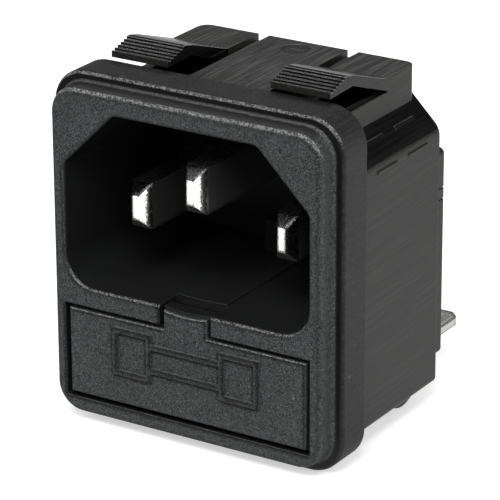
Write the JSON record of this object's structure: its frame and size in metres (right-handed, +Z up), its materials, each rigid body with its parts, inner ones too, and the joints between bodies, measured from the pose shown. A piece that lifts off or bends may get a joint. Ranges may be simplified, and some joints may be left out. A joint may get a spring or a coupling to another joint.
{
  "type": "fused mains inlet socket",
  "caption": "Snap-in three-pin mains inlet with a square bezel, a recess for the plug and a fuse drawer below it.",
  "frame": {"origin": "centre of the bezel's outline, in the plane of the flange's back face, which seats on the panel", "axes": "+Y back through the panel, +X to the right seen from the front, +Z up, with the fuse drawer at the bottom"},
  "size_m": [0.0274, 0.0282, 0.0318],
  "materials": {
    "black_plastic": "fine spark-eroded",
    "nickel_plate": "bright nickel plate",
    "fuse_caps": "bright nickel plate",
    "fuse_glass": "clear",
    "fuse_wire": "drawn wire"
  },
  "bodies": {
    "socket": {"housing": "black_plastic", "rear_cover": "black_plastic", "line_pin": "nickel_plate", "neutral_pin": "nickel_plate", "earth_pin": "nickel_plate", "line_terminal": "nickel_plate", "line_fuse_clip": "nickel_plate", "terminal_fuse_clip": "nickel_plate"},
    "drawer": {"fuse_drawer": "black_plastic", "live_fuse_glass": "fuse_glass", "live_fuse_left_cap": "fuse_caps", "live_fuse_right_cap": "fuse_caps", "live_fuse_wire": "fuse_wire", "spare_fuse_glass": "fuse_glass", "spare_fuse_left_cap": "fuse_caps", "spare_fuse_right_cap": "fuse_caps", "spare_fuse_wire": "fuse_wire"}
  },
  "joints": [
    {"name": "drawer_slide", "type": "slide", "parent": "socket", "child": "drawer", "axis": [0, -1, 0], "range_m": [0, 0.014]}
  ]
}
